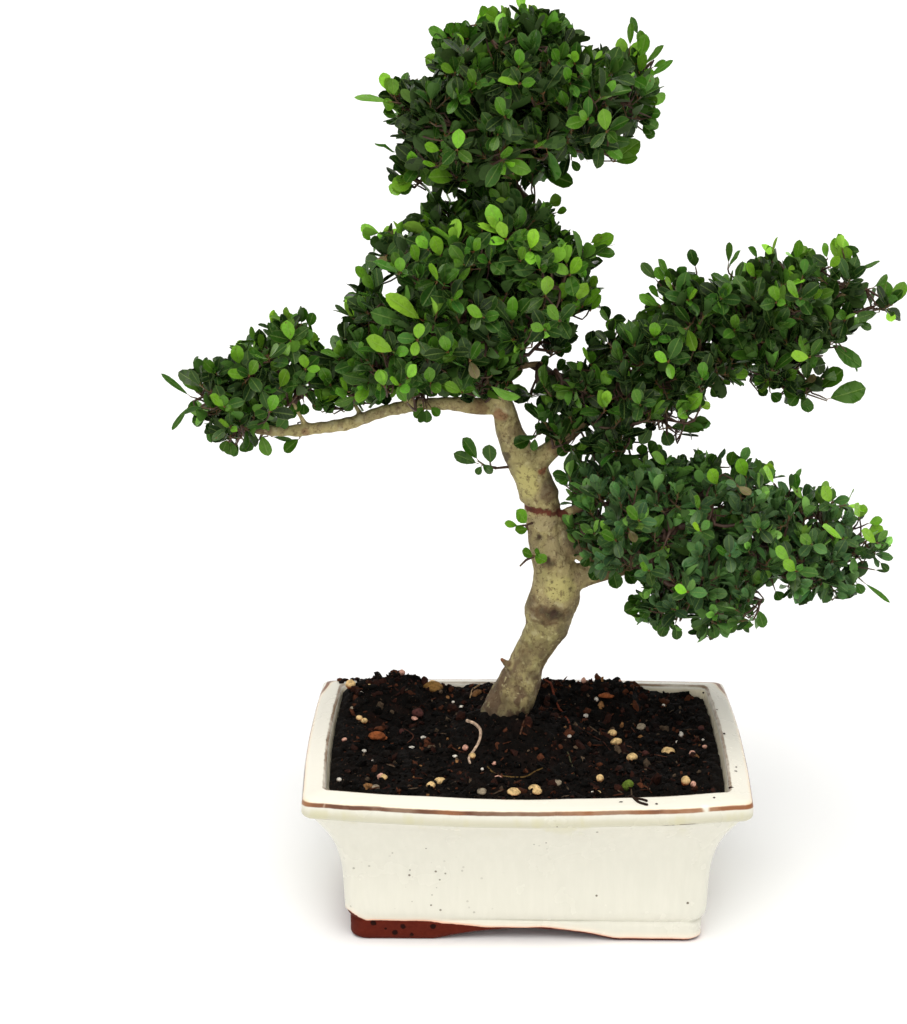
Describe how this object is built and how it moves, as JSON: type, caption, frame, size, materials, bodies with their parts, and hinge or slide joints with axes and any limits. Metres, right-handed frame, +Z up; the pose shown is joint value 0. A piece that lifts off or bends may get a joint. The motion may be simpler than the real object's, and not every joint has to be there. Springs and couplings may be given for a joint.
{
  "type": "japanese holly bonsai in pot",
  "caption": "Small-leaved evergreen bonsai with a leaning trunk and cloud-like foliage pads, planted in a cream glazed rectangular footed pot.",
  "frame": {"origin": "middle of the pot's footprint, on the surface that the feet stand on", "axes": "+Z up along the trunk; +X to the right along the pot's long side, seen from the front; +Y towards the back of the pot, so the long side facing the viewer is at -Y"},
  "size_m": [0.4176, 0.196, 0.5197],
  "materials": {
    "glazed_pot": "gloss ivory glaze, bare terracotta foot",
    "potting_soil": "matte moist crumbs",
    "drainage_mesh": "matte",
    "bark": "matte bark",
    "leaves_dark": "waxy",
    "leaves_mid": "waxy",
    "leaves_light": "waxy"
  },
  "bodies": {
    "root": {"pot": "glazed_pot", "drainage_screen_left": "drainage_mesh", "drainage_screen_right": "drainage_mesh", "soil": "potting_soil", "trunk_and_branches": "bark", "foliage_apex_top": "leaves_light", "foliage_apex_left": "leaves_mid", "foliage_apex_right": "leaves_mid", "foliage_apex_front": "leaves_dark", "foliage_apex_back": "leaves_mid", "foliage_crown_top": "leaves_light", "foliage_crown_left": "leaves_light", "foliage_crown_right": "leaves_light", "foliage_crown_front": "leaves_mid", "foliage_crown_back": "leaves_dark", "foliage_crown_lower_left": "leaves_mid", "foliage_crown_lower_right": "leaves_dark", "foliage_left_tip": "leaves_light", "foliage_left_middle": "leaves_mid", "foliage_left_inner": "leaves_mid", "foliage_right_upper_root": "leaves_dark", "foliage_right_upper_middle": "leaves_mid", "foliage_right_upper_end": "leaves_light", "foliage_right_upper_tip": "leaves_light", "foliage_right_upper_fringe": "leaves_dark", "foliage_right_upper_underside": "leaves_dark", "foliage_right_lower_root": "leaves_dark", "foliage_right_lower_front": "leaves_dark", "foliage_right_lower_back": "leaves_dark", "foliage_right_lower_middle": "leaves_mid", "foliage_right_lower_tip": "leaves_mid", "foliage_right_lower_underside": "leaves_dark", "sprig_trunk_left": "leaves_dark", "sprig_trunk_middle": "leaves_light", "sprig_trunk_lower": "leaves_light"}
  },
  "joints": []
}
